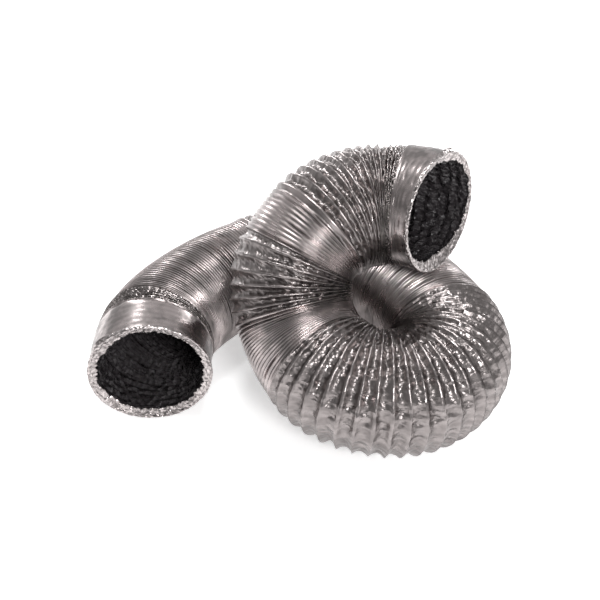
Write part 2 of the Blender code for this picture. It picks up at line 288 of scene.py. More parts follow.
def point_tree():
    """A point on the duct: at a station, a share of a turn round from below, and a radius."""
    tree, given, result = new_tree(
        "duct_point",
        (("Route", "NodeSocketGeometry", None), ("Station", "NodeSocketFloat", 0.0),
         ("Turn", "NodeSocketFloat", 0.0), ("Radius", "NodeSocketFloat", 0.0),
         ("Along", "NodeSocketFloat", 0.0)),
        (("Position", "NodeSocketVector"), ("Outward", "NodeSocketVector")),
    )
    here = add(tree, "GeometryNodeSampleCurve", {"Curves": given["Route"], "Length": given["Station"]},
               mode="LENGTH")
    ahead = add(tree, "ShaderNodeVectorMath", [here.outputs["Tangent"]], operation="NORMALIZE")
    side = add(tree, "ShaderNodeVectorMath", [(0.0, 0.0, 1.0), ahead], operation="CROSS_PRODUCT")
    left = add(tree, "ShaderNodeVectorMath", [side], operation="NORMALIZE")
    up = add(tree, "ShaderNodeVectorMath", [ahead, left], operation="CROSS_PRODUCT")
    angle = add(tree, "ShaderNodeMath", [given["Turn"], 2 * math.pi, -math.pi / 2], operation="MULTIPLY_ADD")
    across = add(tree, "ShaderNodeMath", [angle], operation="COSINE")
    above = add(tree, "ShaderNodeMath", [angle], operation="SINE")
    across = add(tree, "ShaderNodeVectorMath", {0: left, "Scale": across}, operation="SCALE")
    above = add(tree, "ShaderNodeVectorMath", {0: up, "Scale": above}, operation="SCALE")
    outward = add(tree, "ShaderNodeVectorMath", [across, above], operation="ADD")
    reach = add(tree, "ShaderNodeVectorMath", {0: outward, "Scale": given["Radius"]}, operation="SCALE")
    shift = add(tree, "ShaderNodeVectorMath", {0: ahead, "Scale": given["Along"]}, operation="SCALE")
    place = add(tree, "ShaderNodeVectorMath", [here.outputs["Position"], reach], operation="ADD")
    place = add(tree, "ShaderNodeVectorMath", [place, shift], operation="ADD")
    tree.links.new(place.outputs[0], result["Position"])
    tree.links.new(outward.outputs[0], result["Outward"])
    return tree


def station_tree():
    """The wire's station after some turns; past the last turn the next stretch's pitch holds."""
    tree, given, result = new_tree(
        "wire_station",
        (("Turn", "NodeSocketFloat", 0.0), ("Start", "NodeSocketFloat", 0.0),
         ("Turns", "NodeSocketFloat", 1.0), ("Pitch", "NodeSocketFloat", 0.01),
         ("Next pitch", "NodeSocketFloat", 0.01)),
        (("Station", "NodeSocketFloat"),),
    )
    inside = add(tree, "ShaderNodeMath", [given["Turn"], given["Turns"]], operation="MINIMUM")
    past = add(tree, "ShaderNodeMath", [given["Turn"], inside], operation="SUBTRACT")
    station = add(tree, "ShaderNodeMath", [inside, given["Pitch"], given["Start"]], operation="MULTIPLY_ADD")
    station = add(tree, "ShaderNodeMath", [past, given["Next pitch"], station], operation="MULTIPLY_ADD")
    tree.links.new(station.outputs[0], result["Station"])
    return tree


PROBE = 0.001               # how far either side of a place the skin's own stretch is measured
LEAST_SPARE = 0.0000064     # square of the shallowest fold left where the foil is pulled straight
FOLD_TO_FOLD = 0.11         # places in the noise between one fold and the next: unlike each other
RIB_TO_RIB = 0.045          # the same between ribs, which change more gently
DRIFT_TO_CRUMPLE = 2.0      # how far crumples shift foil along the duct, against how far they lift it
FLOOR_CLEARANCE = 0.0004
SEAM_MERGE = 0.00002
STRETCH_INPUTS = (
    ("Geometry", "NodeSocketGeometry", None), ("Start", "NodeSocketFloat", 0.0),
    ("Turns", "NodeSocketInt", 1), ("Pitch", "NodeSocketFloat", 0.01),
    ("Next pitch", "NodeSocketFloat", 0.01), ("Inset", "NodeSocketFloat", 0.0),
    ("Material", "NodeSocketMaterial", None),
)


def carried(tree, route, station, name):
    """The three values that the route carries at a station under this name."""
    values = add(tree, "GeometryNodeInputNamedAttribute", {"Name": name}, data_type="FLOAT_VECTOR")
    values = add(tree, "GeometryNodeSampleCurve", {"Curves": route, "Value": values, "Length": station},
                 mode="LENGTH", data_type="FLOAT_VECTOR")
    return add(tree, "ShaderNodeSeparateXYZ", [values.outputs["Value"]]).outputs


def end_tree(tree, mesh, given, result):
    """Shade smooth, realize instances and set the material, last of all."""
    mesh = add(tree, "GeometryNodeSetShadeSmooth", {"Geometry": mesh})
    mesh = add(tree, "GeometryNodeRealizeInstances", {"Geometry": mesh})
    mesh = add(tree, "GeometryNodeSetMaterial", {"Geometry": mesh, "Material": given["Material"]})
    tree.links.new(mesh.outputs[0], result["Geometry"])
    return tree


def skin_tree(point, station):
    """Pleated skin: rows follow the wire, crests stand on it and folds sink in between."""
    tree, given, result = new_tree(
        "pleated_skin",
        STRETCH_INPUTS + (
            ("First turn", "NodeSocketFloat", 0.0), ("Rows", "NodeSocketInt", 8),
            ("Sides", "NodeSocketInt", 96), ("Least depth", "NodeSocketFloat", 0.0),
            ("Strip", "NodeSocketFloat", 0.011), ("Crumple size", "NodeSocketFloat", 0.007),
            ("Crest power", "NodeSocketFloat", 1.0), ("Least slack", "NodeSocketFloat", 0.1),
        ),
        (("Geometry", "NodeSocketGeometry"),),
    )
    route = add(tree, "GeometryNodeMeshToCurve", {"Mesh": given["Geometry"]})
    rows = add(tree, "ShaderNodeMath", [given["Rows"], given["Turns"], 1.0], operation="MULTIPLY_ADD")
    sides = add(tree, "ShaderNodeMath", [given["Sides"], 1.0], operation="ADD")
    grid = add(tree, "GeometryNodeMeshGrid",
               {"Size X": 1.0, "Size Y": 1.0, "Vertices X": rows, "Vertices Y": sides})
    flat = add(tree, "ShaderNodeSeparateXYZ", [add(tree, "GeometryNodeInputPosition")])
    share = add(tree, "ShaderNodeMath", [flat.outputs[0], 0.5], operation="ADD")
    row = add(tree, "ShaderNodeMath", [share, given["Turns"]], operation="MULTIPLY")
    lap = add(tree, "ShaderNodeMath", [flat.outputs[1], 0.5], operation="ADD")
    turn = add(tree, "ShaderNodeMath", [row, lap], operation="ADD")
    winding = {name: given[name] for name in ("Start", "Turns", "Pitch", "Next pitch")}
    here = add(tree, "GeometryNodeGroup", {"Turn": turn, **winding}, node_tree=station)

    crest, limit, end_fade = carried(tree, route, here, "shape")
    crumple, groove, unevenness = carried(tree, route, here, "texture")

    # Places on the flat foil, closed round the duct, that every pattern is drawn on.
    spun = add(tree, "ShaderNodeMath", [lap, 2 * math.pi], operation="MULTIPLY")
    x, y = (add(tree, "ShaderNodeMath", [add(tree, "ShaderNodeMath", [spun], operation=way), PLEAT_RADIUS],
                operation="MULTIPLY") for way in ("COSINE", "SINE"))
    sheet = add(tree, "ShaderNodeCombineXYZ", [x, y, here])
    whole = add(tree, "ShaderNodeMath", [row, 0.0001], operation="ADD")
    whole = add(tree, "ShaderNodeMath", [whole], operation="FLOOR")
    fold_turn = add(tree, "ShaderNodeMath", [whole, lap], operation="ADD")
    fold_turn = add(tree, "ShaderNodeMath", [fold_turn, given["First turn"]], operation="ADD")
    strip_z = add(tree, "ShaderNodeMath", [fold_turn, FOLD_TO_FOLD], operation="MULTIPLY")
    strip_place = add(tree, "ShaderNodeCombineXYZ", [x, y, strip_z])

    # Depth of the fold: what is left of the strip's width once the wires stand this far apart.
    ends = []
    for step in (-PROBE, PROBE):
        beside = add(tree, "ShaderNodeMath", [here, step], operation="ADD")
        ends.append(add(tree, "GeometryNodeGroup",
                        {"Route": route, "Station": beside, "Turn": lap, "Radius": crest}, node_tree=point))
    apart = add(tree, "ShaderNodeVectorMath", ends, operation="DISTANCE").outputs["Value"]
    slack = add(tree, "ShaderNodeMapRange", {"Value": apart, "From Min": 0.35 * 2 * PROBE,
                                             "From Max": 0.95 * 2 * PROBE, "To Min": given["Least slack"]},
                interpolation_type="SMOOTHSTEP")
    half_pitch = add(tree, "ShaderNodeMath", [given["Pitch"], 0.5 / (2 * PROBE)], operation="MULTIPLY")
    half = add(tree, "ShaderNodeMath", [apart, half_pitch], operation="MULTIPLY")
    half = add(tree, "ShaderNodeMath", [half, 2.0], operation="POWER")
    depth = given["Strip"]
    for way, value in (("POWER", 2.0), ("SUBTRACT", half), ("MAXIMUM", LEAST_SPARE), ("POWER", 0.5),
                       ("MINIMUM", limit)):
        depth = add(tree, "ShaderNodeMath", [depth, value], operation=way)
    folded = add(tree, "ShaderNodeMath", [slack, 0.45, 0.55], operation="MULTIPLY_ADD")
    depth = add(tree, "ShaderNodeMath", [depth, folded], operation="MULTIPLY")
    least = add(tree, "ShaderNodeMath", [given["Least depth"], end_fade], operation="MULTIPLY")
    depth = add(tree, "ShaderNodeMath", [depth, least], operation="MAXIMUM")
    vary = add(tree, "ShaderNodeTexNoise", {"Vector": strip_place, "Scale": 14.0, "Detail": 1.0})
    vary = add(tree, "ShaderNodeMapRange", {"Value": vary.outputs[0], "From Min": 0.3, "From Max": 0.7,
                                            "To Min": 0.65, "To Max": 1.25}, clamp=True)
    depth = add(tree, "ShaderNodeMath", [depth, vary], operation="MULTIPLY")
    parted = add(tree, "ShaderNodeTexNoise", {"Vector": strip_place, "Scale": 9.0, "Detail": 0.0})
    parted = add(tree, "ShaderNodeMapRange", {"Value": parted.outputs[0], "From Min": 0.60, "From Max": 0.72},
                 interpolation_type="SMOOTHSTEP")
    depth = add(tree, "ShaderNodeMath", [parted, groove, depth], operation="MULTIPLY_ADD")
    wave = add(tree, "ShaderNodeMath", [row, math.pi], operation="MULTIPLY")
    for way in ("SINE", "ABSOLUTE"):
        wave = add(tree, "ShaderNodeMath", [wave], operation=way)
    fold = add(tree, "ShaderNodeMath", [wave, given["Crest power"]], operation="POWER")

    # Crumples: cells pulled out along the duct, strongest on the slopes and nearly none on the wire.
    long_sheet = add(tree, "ShaderNodeVectorMath", [sheet, (1.0, 1.0, 0.55)], operation="MULTIPLY")
    per_size = add(tree, "ShaderNodeMath", [1.0, given["Crumple size"]], operation="DIVIDE")
    cells = add(tree, "ShaderNodeTexVoronoi", {"Vector": long_sheet, "Scale": per_size},
                feature="F1")
    broad = add(tree, "ShaderNodeTexNoise", {"Vector": sheet, "Scale": 55.0, "Detail": 2.0})
    bumps = add(tree, "ShaderNodeMath", [cells.outputs["Distance"], 0.45], operation="SUBTRACT")
    swell = add(tree, "ShaderNodeMath", [broad.outputs[0], 0.5], operation="SUBTRACT")
    bumps = add(tree, "ShaderNodeMath", [swell, 1.3, bumps], operation="MULTIPLY_ADD")
    hold = add(tree, "ShaderNodeMapRange", {"Value": fold, "To Min": 0.06, "To Max": 1.0})
    for factor in (hold, crumple, slack):
        bumps = add(tree, "ShaderNodeMath", [bumps, factor], operation="MULTIPLY")
    rib_z = add(tree, "ShaderNodeMath", [turn, given["First turn"]], operation="ADD")
    rib_z = add(tree, "ShaderNodeMath", [rib_z, RIB_TO_RIB], operation="MULTIPLY")
    rib_place = add(tree, "ShaderNodeCombineXYZ", [x, y, rib_z])
    rib = add(tree, "ShaderNodeTexNoise", {"Vector": rib_place, "Scale": 22.0, "Detail": 1.0})
    rib = add(tree, "ShaderNodeMath", [rib.outputs[0], 0.5], operation="SUBTRACT")
    rib = add(tree, "ShaderNodeMath", [rib, unevenness], operation="MULTIPLY")

    sunk = add(tree, "ShaderNodeMath", [depth, fold], operation="MULTIPLY")
    radius = crest
    for way, value in (("SUBTRACT", given["Inset"]), ("SUBTRACT", sunk), ("ADD", bumps), ("ADD", rib)):
        radius = add(tree, "ShaderNodeMath", [radius, value], operation=way)
    drift = add(tree, "ShaderNodeTexNoise", {"Vector": sheet, "Scale": 80.0, "Detail": 1.0})
    drift = add(tree, "ShaderNodeMath", [drift.outputs[0], 0.5], operation="SUBTRACT")
    for factor in (crumple, fold, DRIFT_TO_CRUMPLE):
        drift = add(tree, "ShaderNodeMath", [drift, factor], operation="MULTIPLY")
    placed = add(tree, "GeometryNodeGroup", {"Route": route, "Station": here, "Turn": lap, "Radius": radius,
                                             "Along": drift}, node_tree=point)
    at = add(tree, "ShaderNodeSeparateXYZ", [placed.outputs["Position"]]).outputs
    lifted = add(tree, "ShaderNodeMath", [at[2], FLOOR_CLEARANCE], operation="MAXIMUM")
    where = add(tree, "ShaderNodeCombineXYZ", [at[0], at[1], lifted])

    mesh = add(tree, "GeometryNodeStoreNamedAttribute", {"Geometry": grid, "Name": "sheet", "Value": sheet},
               data_type="FLOAT_VECTOR", domain="POINT")
    for name, value in (("fold", fold), ("slack", slack)):
        mesh = add(tree, "GeometryNodeStoreNamedAttribute", {"Geometry": mesh, "Name": name, "Value": value},
                   data_type="FLOAT", domain="POINT")
    mesh = add(tree, "GeometryNodeSetPosition", {"Geometry": mesh, "Position": where})
    mesh = add(tree, "GeometryNodeMergeByDistance", {"Geometry": mesh, "Distance": SEAM_MERGE})
    return end_tree(tree, add(tree, "GeometryNodeFlipFaces", {"Mesh": mesh}), given, result)


def wire_tree(point, station):
    """Round spring wire wound on the route, a turn for each pitch."""
    tree, given, result = new_tree(
        "spring_wire", STRETCH_INPUTS + (("Diameter", "NodeSocketFloat", 0.001),
                                         ("Steps", "NodeSocketInt", 48)),
        (("Geometry", "NodeSocketGeometry"),),
    )
    route = add(tree, "GeometryNodeMeshToCurve", {"Mesh": given["Geometry"]})
    count = add(tree, "ShaderNodeMath", [given["Steps"], given["Turns"], 1.0], operation="MULTIPLY_ADD")
    line = add(tree, "GeometryNodeMeshLine", {"Count": count})
    turn = add(tree, "ShaderNodeMath", [add(tree, "GeometryNodeInputIndex"), given["Steps"]],
               operation="DIVIDE")
    winding = {name: given[name] for name in ("Start", "Turns", "Pitch", "Next pitch")}
    here = add(tree, "GeometryNodeGroup", {"Turn": turn, **winding}, node_tree=station)
    crest = carried(tree, route, here, "shape")[0]
    radius = add(tree, "ShaderNodeMath", [crest, given["Inset"]], operation="SUBTRACT")
    placed = add(tree, "GeometryNodeGroup", {"Route": route, "Station": here, "Turn": turn, "Radius": radius},
                 node_tree=point)
    line = add(tree, "GeometryNodeSetPosition", {"Geometry": line, "Position": placed.outputs["Position"]})
    line = add(tree, "GeometryNodeMeshToCurve", {"Mesh": line})
    half = add(tree, "ShaderNodeMath", [given["Diameter"], 0.5], operation="MULTIPLY")
    ring = add(tree, "GeometryNodeCurvePrimitiveCircle", {"Resolution": 6, "Radius": half}, mode="RADIUS")
    mesh = add(tree, "GeometryNodeCurveToMesh", {"Curve": line, "Profile Curve": ring, "Fill Caps": True})
    return end_tree(tree, mesh, given, result)


# ---------------------------------------------------------------- materials
def new_material(name, **values):
    """A material with these values on its Principled shader, its tree and that shader."""
    material = bpy.data.materials.new(name)
    material.use_nodes = True
    tree = material.node_tree
    shader = tree.nodes["Principled BSDF"]
    for key, value in values.items():
        shader.inputs[key.replace("_", " ")].default_value = value
    return material, tree, shader


def foil_material(name, dull, bright, cell, cell_height, streak_height, rough):
    """Aluminium foil laminate, crinkled by hand: bright flecks where a facet meets the light.

    cell is the size of a crinkle; the heights are those of the crinkles and of the rolling lines. The colour
    runs at random between dull and bright, and is also painted darker towards dull down in the folds: painted
    shade.
    """
    material, tree, shader = new_material(name, Metallic=1.0)
    sheet = add(tree, "ShaderNodeAttribute", attribute_name="sheet").outputs["Vector"]
    fold = add(tree, "ShaderNodeAttribute", attribute_name="fold").outputs["Fac"]
    cells = add(tree, "ShaderNodeTexVoronoi", {"Vector": sheet, "Scale": 1 / cell}, feature="F1")
    small = add(tree, "ShaderNodeTexVoronoi", {"Vector": sheet, "Scale": 2.3 / cell}, feature="F1")
    height = add(tree, "ShaderNodeMath", [small.outputs["Distance"], 0.22, cells.outputs["Distance"]],
                 operation="MULTIPLY_ADD")
    slack = add(tree, "ShaderNodeAttribute", attribute_name="slack").outputs["Fac"]
    loose = add(tree, "ShaderNodeMath", [slack, cell_height], operation="MULTIPLY")
    off_wire = add(tree, "ShaderNodeMapRange", {"Value": fold, "To Min": 0.25, "To Max": 1.0})
    loose = add(tree, "ShaderNodeMath", [loose, off_wire], operation="MULTIPLY")
    crinkle = add(tree, "ShaderNodeBump", {"Height": height, "Strength": 1.0, "Distance": loose})
    lines = add(tree, "ShaderNodeVectorMath", [sheet, (60.0, 60.0, 1600.0)], operation="MULTIPLY")
    lines = add(tree, "ShaderNodeTexNoise", {"Vector": lines, "Scale": 1.0, "Detail": 3.0})
    crinkle = add(tree, "ShaderNodeBump", {"Height": lines.outputs[0], "Strength": 1.0,
                                           "Distance": streak_height, "Normal": crinkle})
    patches = add(tree, "ShaderNodeTexNoise", {"Vector": sheet, "Scale": 1 / cell, "Detail": 2.0})
    tone_and_fold_shade = add(tree, "ShaderNodeMapRange", {"Value": patches.outputs[0], "From Min": 0.35, "From Max": 0.65})
    # Painted shade: the colour is pulled towards the dull one down in the folds, more the deeper the fold.
    tone_and_fold_shade = add(tree, "ShaderNodeMath", [fold, -0.25, tone_and_fold_shade], operation="MULTIPLY_ADD", use_clamp=True)
    colour = add(tree, "ShaderNodeMix", data_type="RGBA")
    tree.links.new(tone_and_fold_shade.outputs[0], colour.inputs["Factor"])
    colour.inputs[6].default_value = (*dull, 1.0)
    colour.inputs[7].default_value = (*bright, 1.0)
    gloss = add(tree, "ShaderNodeMapRange", {"Value": patches.outputs[0], "From Min": 0.3, "From Max": 0.7,
                                             "To Min": rough * 1.25, "To Max": rough * 0.75})
    tree.links.new(colour.outputs[2], shader.inputs["Base Color"])
    tree.links.new(gloss.outputs[0], shader.inputs["Roughness"])
    tree.links.new(crinkle.outputs[0], shader.inputs["Normal"])
    return material


def film_material(colour):
    """Black polyester film, wrinkled: hard small glints on near black."""
    material, tree, shader = new_material("black_polyester_film", Roughness=0.24, Base_Color=(*colour, 1.0),
                                          IOR=1.65)
    sheet = add(tree, "ShaderNodeAttribute", attribute_name="sheet").outputs["Vector"]
    cells = add(tree, "ShaderNodeTexVoronoi", {"Vector": sheet, "Scale": 130.0}, feature="F1")
    small = add(tree, "ShaderNodeTexNoise", {"Vector": sheet, "Scale": 420.0, "Detail": 2.0})
    height = add(tree, "ShaderNodeMath", [small.outputs[0], 0.5, cells.outputs["Distance"]],
                 operation="MULTIPLY_ADD")
    wrinkles = add(tree, "ShaderNodeBump", {"Height": height, "Strength": 1.0, "Distance": 0.0085})
    tree.links.new(wrinkles.outputs[0], shader.inputs["Normal"])
    return material


def wire_material(colour):
    """Drawn spring steel: dull grey with faint drawing lines."""
    material, tree, shader = new_material("drawn_spring_steel", Metallic=1.0, Base_Color=(*colour, 1.0))
    place = add(tree, "ShaderNodeTexCoord").outputs["Object"]
    grain = add(tree, "ShaderNodeTexNoise", {"Vector": place, "Scale": 900.0, "Detail": 2.0})
    gloss = add(tree, "ShaderNodeMapRange", {"Value": grain.outputs[0], "To Min": 0.28, "To Max": 0.5})
    tree.links.new(gloss.outputs[0], shader.inputs["Roughness"])
    return material


def floor_material(colour):
    """Matt board lit from below, with a trace of tooth: hardly any shadow shows on it."""
    material, tree, shader = new_material("matt_board", Roughness=0.85, Base_Color=(*colour, 1.0),
                                          Emission_Color=(1.0, 1.0, 1.0, 1.0), Emission_Strength=0.50)
    place = add(tree, "ShaderNodeTexCoord").outputs["Object"]
    tooth = add(tree, "ShaderNodeTexNoise", {"Vector": place, "Scale": 300.0, "Detail": 2.0})
    tooth = add(tree, "ShaderNodeBump", {"Height": tooth.outputs[0], "Strength": 0.05, "Distance": 0.0005})
    tree.links.new(tooth.outputs[0], shader.inputs["Normal"])
    return material


# ---------------------------------------------------------------- stretches of duct
def smoothed(values, reach):
    """Values along the route with their steps rounded off over a length."""
    width = 2 * int(round(reach / SAMPLE_STEP)) + 1
    padded = numpy.pad(values, width // 2, mode="edge")
    window = numpy.hanning(width + 2)[1:-1]
    return numpy.convolve(padded, window / window.sum(), mode="valid")


Kind = collections.namedtuple("Kind", (
    "crest", "limit",               # radius over the wire, deepest fold
    "pitch",                        # spacing of the wire
    "crumple", "groove", "uneven",  # how far the foil is crumpled, how deep ribs part, how much they differ
    "rows", "sides",                # of the mesh, for one turn
    "crumple_size", "crest_power",  # size of a crumple; the lower the power, the sharper the crest
    "least_slack",                  # folding kept where the foil is pulled apart
))


def kinds(sizes):
    """The numbers of each kind of stretch, by name."""
    pleats = Kind(sizes.pleat_radius, sizes.pleat_depth, sizes.pleat_pitch, 0.0036, 0.0, 0.0006,
                  8, 216, 0.0115, 0.85, 0.55)
    return {
        "cuff": Kind(sizes.cuff_radius, sizes.cuff_depth, sizes.cuff_pitch, 0.0003, 0.0, 0.0002,
                     6, 192, 0.016, 2.0, 0.5),
        "band": Kind(sizes.cuff_radius, sizes.cuff_depth * 8, sizes.cuff_pitch, 0.0012, 0.0, 0.0006,
                     6, 192, 0.012, 2.0, 0.5),
        "neck": Kind(sizes.neck_radius, sizes.neck_depth, sizes.neck_pitch, 0.0045, 0.0, 0.0016,
                     6, 224, 0.0075, 1.0, 0.8),
        "stack": Kind(sizes.stack_radius, sizes.stack_depth, sizes.stack_pitch, 0.0001, sizes.groove,
                      0.0003, 8, 112, 0.012, 3.0, 0.1),
        "fine": Kind(sizes.stack_radius, sizes.stack_depth, sizes.stack_pitch * 0.9, 0.00015,
                     sizes.groove, 0.0004, 6, 128, 0.012, 2.4, 0.1),
        "fan": pleats._replace(pitch=sizes.pleat_pitch * 0.85, crumple_size=0.0105, crest_power=1.0,
                               least_slack=0.1),
        "pleats": pleats,
    }


def route_mesh(sizes):
    """The route as a line of points that carry the duct's size and texture along it."""
    reaches = {"crest": 0.012, "limit": 0.008, "crumple": 0.010, "groove": 0.006, "uneven": 0.010}
    table = kinds(sizes)
    columns = {}
    for key, reach in reaches.items():
        steps = numpy.zeros(len(STATIONS))
        for _, start, end, kind in LAYOUT:
            inside = (STATIONS >= start - 1e-9) & (STATIONS <= end + 1e-9)
            steps[inside] = getattr(table[kind], key)
        columns[key] = smoothed(steps, reach)
    to_end = numpy.minimum(STATIONS, LENGTH - STATIONS)
    fade = numpy.clip(to_end / 0.012, 0, 1)
    calm = numpy.clip(to_end / 0.004, 0, 1)
    for key in ("limit", "crumple", "uneven"):
        columns[key] = columns[key] * calm
    data = bpy.data.meshes.new("duct_route")
    data.from_pydata(CENTRES.tolist(), [(i, i + 1) for i in range(len(CENTRES) - 1)], [])
    shape = data.attributes.new("shape", "FLOAT_VECTOR", "POINT")
    shape.data.foreach_set("vector", numpy.stack((columns["crest"], columns["limit"], fade), axis=1).ravel())
    texture = data.attributes.new("texture", "FLOAT_VECTOR", "POINT")
    texture.data.foreach_set("vector", numpy.stack(
        (columns["crumple"], columns["groove"], columns["uneven"]), axis=1).ravel())
    return data


def windings(sizes):
    """For each stretch: name, kind, turns before it, and its start, turns, pitch and next pitch.

    The skins at the mouths start or end a whole turn outside, and are stopped by the route's end.
    """
    table = kinds(sizes)
    rows = []
    total = 0
    for name, start, end, kind in LAYOUT:
        turns = max(2, round((end - start) / table[kind].pitch))
        pitch = (end - start) / turns
        rows.append([name, kind, total,
                     {"Start": start, "Turns": turns, "Pitch": pitch, "Next pitch": pitch}])
        total += turns
    for row, following in zip(rows, rows[1:]):
        row[3]["Next pitch"] = following[3]["Pitch"]
    rows[0][2] -= 1
    rows[0][3]["Start"] -= rows[0][3]["Pitch"]
    rows[0][3]["Turns"] += 1
    rows[-1][3]["Turns"] += 1
    return rows


def grown(name, source, tree, values, wall=0.0):
    """The tree's result on the route, as a plain mesh object at the origin."""
    blank = bpy.data.objects.new(name + "_blank", source)
    bpy.context.scene.collection.objects.link(blank)
    modifier = blank.modifiers.new("build", "NODES")
    modifier.node_group = tree
    for key, value in values.items():
        modifier[socket_id(tree, key)] = value
    if wall:
        thick = blank.modifiers.new("wall", "SOLIDIFY")
        thick.thickness = wall
        thick.offset = -1.0
    result = blank.evaluated_get(bpy.context.evaluated_depsgraph_get())
    data = bpy.data.meshes.new_from_object(result)
    data.name = name
    bpy.data.objects.remove(blank)
    piece = bpy.data.objects.new(name, data)
    bpy.context.scene.collection.objects.link(piece)
    return piece


def attach(piece, stretch, nodes):
    """Ride on the stretch's body, or stay where it is built when it spans two, and stand for its CAD nodes.
    """
    bodies = BODIES[stretch]
    if len(bodies) == 1:
        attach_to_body(piece, bodies[0])
    else:
        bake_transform(piece)
    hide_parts(*nodes)


def cad_node(stretch, part):
    """Name of the CAD node of this kind that runs through the stretch."""
    return f"{RUNS.get(stretch, stretch)}_{part}"


class DUCT_OT_skins(bpy.types.Operator):
    """Make the foil skin of every stretch"""
    bl_idname = "duct.skins"
    bl_label = "Foil skins"

    def execute(self, context):
        sizes = context.scene.duct_sizes
        colours = context.scene.duct_colours
        route = route_mesh(sizes)
        tree = skin_tree(point_tree(), station_tree())
        finishes = {
            "pleats": foil_material("crinkled_aluminium_foil", colours.foil_dull_and_shade, colours.foil,
                                    0.0085, 0.0022, 0.00003, 0.33),
            "neck": foil_material("crushed_aluminium_foil", colours.foil_dull_and_shade, colours.foil,
                                  0.0050, 0.0030, 0.00003, 0.22),
            "stack": foil_material("pressed_aluminium_foil", colours.foil_dull_and_shade, colours.stack,
                                   0.030, 0.0002, 0.00002, 0.31),
            "cuff": foil_material("smoothed_aluminium_foil", colours.foil_dull_and_shade, colours.stack,
                                  0.016, 0.0004, 0.00003, 0.30),
        }
        finishes["fan"] = finishes["pleats"]
        finishes["band"] = finishes["cuff"]
        finishes["fine"] = finishes["stack"]
        table = kinds(sizes)
        for name, kind, first, winding in windings(sizes):
            row = table[kind]
            piece = grown(f"{name}_skin", route, tree, {
                **winding, "First turn": float(first), "Rows": row.rows, "Sides": row.sides, "Inset": 0.0,
                "Least depth": 0.0, "Strip": sizes.strip, "Crumple size": row.crumple_size,
                "Crest power": row.crest_power, "Least slack": row.least_slack,
                "Material": finishes[kind],
            }, wall=sizes.foil_wall)
            attach(piece, name, [f"{name}_foil"])
        return {"FINISHED"}


class DUCT_OT_liners(bpy.types.Operator):
    """Make the black film inside every stretch"""
    bl_idname = "duct.liners"
    bl_label = "Liner film"

    def execute(self, context):
        sizes = context.scene.duct_sizes
        route = route_mesh(sizes)
        tree = skin_tree(point_tree(), station_tree())
        film = film_material(context.scene.duct_colours.liner)
        table = kinds(sizes)
        for name, kind, first, winding in windings(sizes):
            row = table[kind]
            # In a neck the film follows the foil row by row, so that neither cuts the other.
            crushed = kind == "neck"
            piece = grown(f"{name}_film", route, tree, {
                **winding, "First turn": float(first), "Rows": row.rows if crushed else row.rows // 2 + 1,
                "Sides": row.sides if crushed else row.sides * 3 // 4,
                "Inset": sizes.liner_inset, "Least depth": sizes.liner_depth, "Strip": sizes.strip,
                "Crumple size": row.crumple_size, "Crest power": 1.0,
                "Least slack": row.least_slack if crushed else 0.6, "Material": film,
            }, wall=sizes.foil_wall)
            attach(piece, name, [cad_node(name, "liner")])
        return {"FINISHED"}


class DUCT_OT_wires(bpy.types.Operator):
    """Wind the spring wire through every stretch"""
    bl_idname = "duct.wires"
    bl_label = "Spring wire"

    def execute(self, context):
        sizes = context.scene.duct_sizes
        route = route_mesh(sizes)
        tree = wire_tree(point_tree(), station_tree())
        steel = wire_material(context.scene.duct_colours.wire)
        for name, _, _, winding in windings(sizes):
            if name in ("left_cuff", "right_cuff"):     # the wire keeps to the turns inside the mouths
                winding["Turns"] -= 1
            if name == "left_cuff":
                winding["Start"] += winding["Pitch"]
            piece = grown(f"{name}_spring", route, tree, {
                **winding, "Inset": sizes.wire_inset, "Diameter": sizes.wire, "Steps": 40,
                "Material": steel,
            })
            attach(piece, name, [cad_node(name, "wire")])
        return {"FINISHED"}


# ---------------------------------------------------------------- hems
def bell(angle, middle, width):
    """1 at one angle round the mouth, falling smoothly to 0 within a width either side."""
    away = abs((angle - middle + math.pi) % (2 * math.pi) - math.pi)
    return 0.5 + 0.5 * math.cos(math.pi * away / width) if away < width else 0.0


